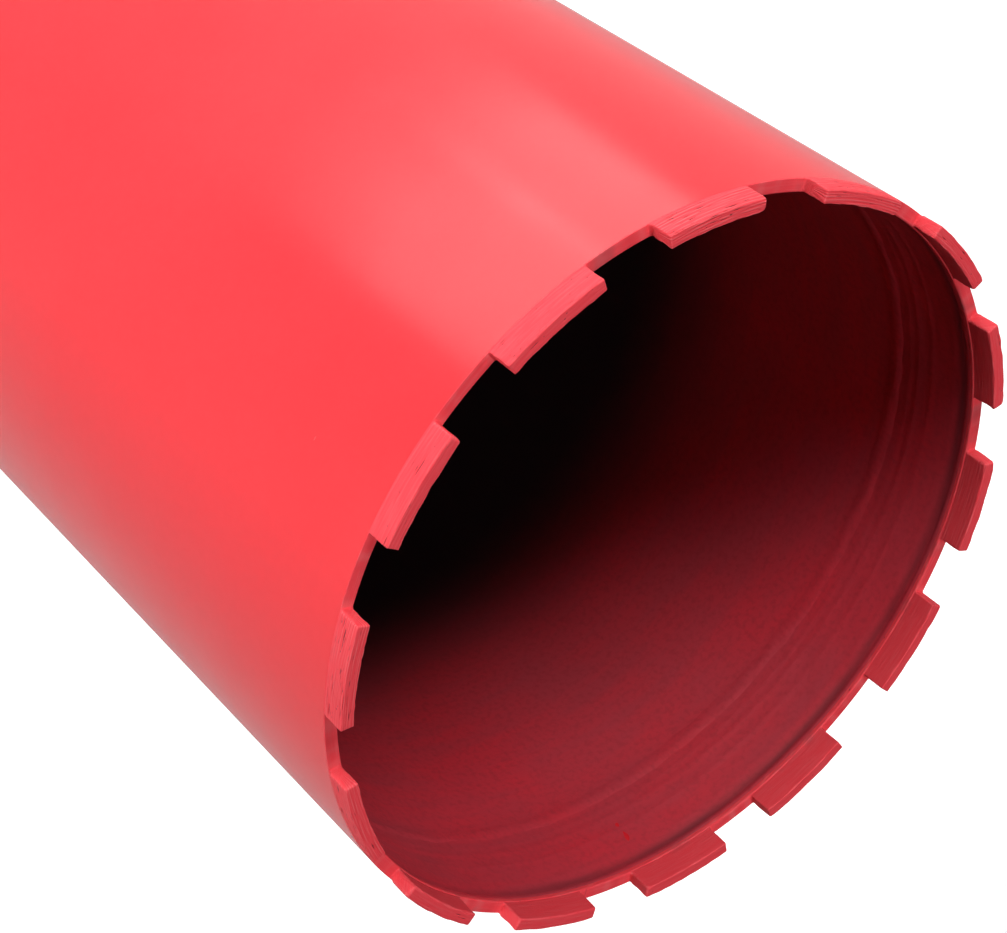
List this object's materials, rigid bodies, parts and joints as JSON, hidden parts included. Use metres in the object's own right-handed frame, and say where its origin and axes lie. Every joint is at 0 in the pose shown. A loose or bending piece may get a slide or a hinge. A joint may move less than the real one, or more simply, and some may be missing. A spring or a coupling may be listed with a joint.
{
  "type": "diamond core bit",
  "caption": "Thin-walled wet core bit: an open steel barrel with a segmented cutting crown at one end and a welded plate with a threaded hub at the other.",
  "frame": {"origin": "centre of the hub's end face, on the barrel's axis, which is also the bottom centre of the part", "axes": "+Z along the barrel's axis, from the hub to the cutting crown; +X through the middle of segment_01's even place"},
  "size_m": [0.1778, 0.1774, 0.4312],
  "materials": {
    "barrel_paint": "satin",
    "crown_paint": "satin",
    "segment_paint": "matt, ground marks show through",
    "hub_steel": "satin paint outside, bare turned steel on the end face and in the thread"
  },
  "bodies": {
    "root": {"barrel_tube": "barrel_paint", "crown_ring": "crown_paint", "ring_weld": "crown_paint", "back_plate": "barrel_paint", "plate_weld": "barrel_paint", "threaded_hub": "hub_steel", "hub_weld": "barrel_paint", "segment_01": "segment_paint", "segment_02": "segment_paint", "segment_03": "segment_paint", "segment_04": "segment_paint", "segment_05": "segment_paint", "segment_06": "segment_paint", "segment_07": "segment_paint", "segment_08": "segment_paint", "segment_09": "segment_paint", "segment_10": "segment_paint", "segment_11": "segment_paint", "segment_12": "segment_paint", "segment_13": "segment_paint", "segment_14": "segment_paint"}
  },
  "joints": []
}
